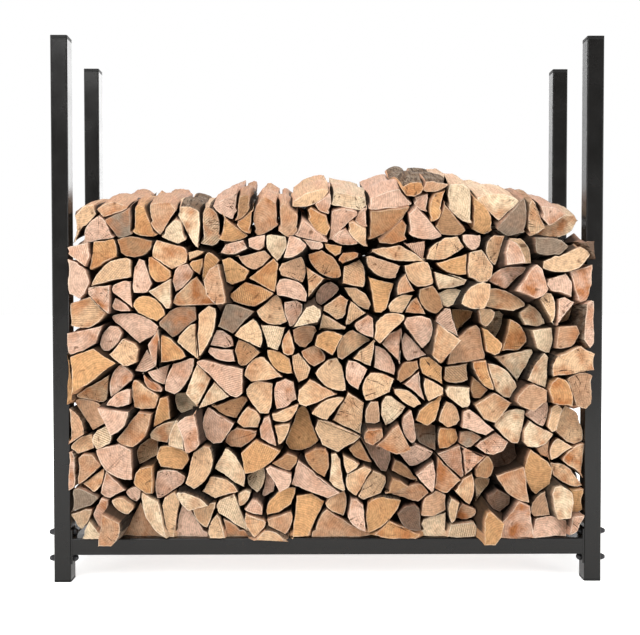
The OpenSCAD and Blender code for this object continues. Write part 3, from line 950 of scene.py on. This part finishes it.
bark_skin, tree = new_finish("thin_grey_brown_bark")
grain = add(tree, "ShaderNodeAttribute", attribute_name="grain").outputs["Vector"]
drawn = add(tree, "ShaderNodeVectorMath", {0: grain, 1: (1 / FISSURE[0], 1 / FISSURE[1], 1 / FISSURE[0])},
            operation="MULTIPLY")
ridge = add(tree, "ShaderNodeTexNoise", {
    "Vector": drawn.outputs[0], "Scale": 1.0, "Detail": 4.0, "Distortion": 0.8})
fissure = add(tree, "ShaderNodeMapRange", {"Value": ridge.outputs["Fac"], 1: 0.36, 2: 0.54})
patch = add(tree, "ShaderNodeTexNoise", {"Vector": grain, "Scale": 1 / PATCH, "Detail": 4.0})
patch_share = add(tree, "ShaderNodeMapRange", {"Value": patch.outputs["Fac"], 1: 0.42, 2: 0.62})
skin = add(tree, "ShaderNodeMix", {0: patch_share.outputs[0], 6: linear("715A47"), 7: linear("8E7E6D")},
           data_type="RGBA")
barked = add(tree, "ShaderNodeMix", {0: fissure.outputs[0], 6: linear("3F3026"), 7: skin.outputs[2]},
             data_type="RGBA")
# Painted shade: the depth stored on the mesh darkens the bark inside the stack and in creases.
painted_shade_depth = add(tree, "ShaderNodeAttribute", attribute_name="painted_shade_depth").outputs["Fac"]
shade = add(tree, "ShaderNodeMapRange", {"Value": painted_shade_depth, 1: 0.01, 2: 0.3, 3: 1.0, 4: 0.1})
shaded = add(tree, "ShaderNodeMix", {0: 1.0, 6: barked.outputs[2], 7: shade.outputs[0]},
             data_type="RGBA", blend_type="MULTIPLY")
scales = add(tree, "ShaderNodeBump", {
    "Height": ridge.outputs["Fac"], "Strength": 0.8, "Distance": 2.5 * MM})
bark_wood = add(tree, "ShaderNodeBsdfPrincipled", {
    "Base Color": shaded.outputs[2], "Roughness": 0.88, "Normal": scales.outputs[0],
    "Specular IOR Level": 0.2})
add(tree, "ShaderNodeOutputMaterial", {"Surface": bark_wood.outputs[0]})
print("bark uses", len(tree.nodes), "nodes")

# %% [markdown]
# Dressing the stack and the heaps
#
# Every course of the stack, and both heaps on top, go through the same steps. Each piece has its own
# seed, taken from its name, so that it looks the same on every run. A little smoothing takes the
# hardness off the corners before the logs are shaped.

# %% Dress the logs
EASE = 0.16
BARK_IN_STACK, BARK_ON_TOP = 0.8, 0.35

for node in LOG_NODES:
    luck = random.Random("wood of " + node)
    is_stacked = "course" in node
    mesh = whole_copy(node)
    mark_ends(mesh)
    mark_round_sides(mesh)
    choose_bark(mesh, luck, BARK_IN_STACK if is_stacked else BARK_ON_TOP)
    cut_faces(mesh)
    bmesh.ops.smooth_vert(mesh, verts=mesh.verts, factor=EASE, use_axis_x=True, use_axis_z=True)
    logs = logs_of(mesh)
    for log in logs:
        shape_log(log, luck, is_stacked)
    mesh.normal_update()
    round_rims(mesh)
    tell_logs_apart(mesh, luck, is_stacked)
    print(node, "has", len(logs), "logs and", sum(len(f.verts) - 2 for f in mesh.faces), "triangles")
    new_piece("split_" + node, mesh, [end_grain, split_face, bark_skin], [node])

# %% [markdown]
# The floor
#
# The studio has a pale matt floor. It glows a little for the camera and for reflections, which keeps
# the shadow near the rack light, and further out it fades into the white surround.

# %% Floor
FLOOR_REACH = 30.0
FADE_FROM, FADE_TO = 0.7, 1.8
GLOW_NEAR, GLOW_FAR = 0.72, 1.0

floor_mesh = bmesh.new()
bmesh.ops.create_grid(floor_mesh, x_segments=1, y_segments=1, size=FLOOR_REACH)
floor_data = bpy.data.meshes.new("floor")
floor_mesh.to_mesh(floor_data)
floor_mesh.free()
floor = bpy.data.objects.new("floor", floor_data)
bpy.context.scene.collection.objects.link(floor)

matt_white, tree = new_finish("matt_white_studio_floor")
path = add(tree, "ShaderNodeLightPath")
seen = add(tree, "ShaderNodeMath", {0: path.outputs["Is Camera Ray"], 1: path.outputs["Is Glossy Ray"]},
           operation="MAXIMUM")
where = add(tree, "ShaderNodeTexCoord").outputs["Object"]
away = add(tree, "ShaderNodeVectorMath", {0: where}, operation="LENGTH")
fade = add(tree, "ShaderNodeMapRange", {
    "Value": away.outputs["Value"], 1: FADE_FROM, 2: FADE_TO, 3: GLOW_NEAR, 4: GLOW_FAR})
glow = add(tree, "ShaderNodeMath", {0: seen.outputs[0], 1: fade.outputs[0]}, operation="MULTIPLY")
paint = add(tree, "ShaderNodeBsdfPrincipled", {
    "Base Color": linear("EDEDEB"), "Roughness": 0.9, "Specular IOR Level": 0.1,
    "Emission Color": linear("FFFFFF"), "Emission Strength": glow.outputs[0]})
add(tree, "ShaderNodeOutputMaterial", {"Surface": paint.outputs[0]})
floor_data.materials.append(matt_white)
print("floor reaches", FLOOR_REACH, "m each way")

# %% [markdown]
# The surround
#
# The surround is white to the camera but lights the wood only gently, so the gaps between the logs stay
# dark. Reflections on the front look out past the camera and meet a dim room, which keeps the coat
# black. Those at the back meet white.

# %% Surround
AMBIENT = 0.2
ROOM = 0.12

surround = bpy.data.worlds.new("white_surround")
surround.use_nodes = True
tree = surround.node_tree
tree.nodes.clear()
path = add(tree, "ShaderNodeLightPath")
direct = add(tree, "ShaderNodeMath", {0: path.outputs["Is Camera Ray"], 1: path.outputs["Is Glossy Ray"]},
             operation="MAXIMUM")
seen = add(tree, "ShaderNodeMath", {0: direct.outputs[0], 1: path.outputs["Is Transmission Ray"]},
           operation="MAXIMUM")
way = add(tree, "ShaderNodeSeparateXYZ", {0: add(tree, "ShaderNodeTexCoord").outputs["Generated"]})
room = add(tree, "ShaderNodeMapRange", {"Value": way.outputs[1], 1: -0.5, 2: 0.2, 3: ROOM, 4: 1.0})
bright = add(tree, "ShaderNodeMath", {0: room.outputs[0], 1: path.outputs["Is Camera Ray"]},
             operation="MAXIMUM")
level = add(tree, "ShaderNodeMapRange", {"Value": seen.outputs[0], 3: AMBIENT, 4: bright.outputs[0]})
sky = add(tree, "ShaderNodeBackground", {"Color": linear("FFFFFF"), "Strength": level.outputs[0]})
add(tree, "ShaderNodeOutputWorld", {"Surface": sky.outputs[0]})
bpy.context.scene.world = surround
print("the surround gives", AMBIENT, "of its light to the wood")

# %% [markdown]
# The lamps
#
# Five large soft lamps light the rack. The key stands high in front, a little to the left, and a fill on
# each side brightens the open sides. A weaker one hangs above, and one stands behind for the back.

# %% Lamps
TARGET = Vector((0.0, 0.0, 0.55))
LAMP_SIZE = 2.0
LAMPS = [("key", (-1.0, -2.9, 3.2), 122.0), ("right_fill", (3.2, -2.3, 0.9), 85.0),
         ("left_fill", (-3.2, -2.3, 0.9), 60.0), ("top", (0.2, 0.4, 3.2), 36.0),
         ("back", (0.6, 3.6, 1.9), 45.0)]

for name, at, power in LAMPS:
    light = bpy.data.lights.new(name, "AREA")
    light.shape = "SQUARE"
    light.size = LAMP_SIZE
    light.energy = power
    lamp = bpy.data.objects.new(name, light)
    lamp.location = at
    lamp.rotation_euler = (TARGET - Vector(at)).to_track_quat("-Z", "Y").to_euler()
    bpy.context.scene.collection.objects.link(lamp)
print("lamps:", [name for name, at, power in LAMPS])
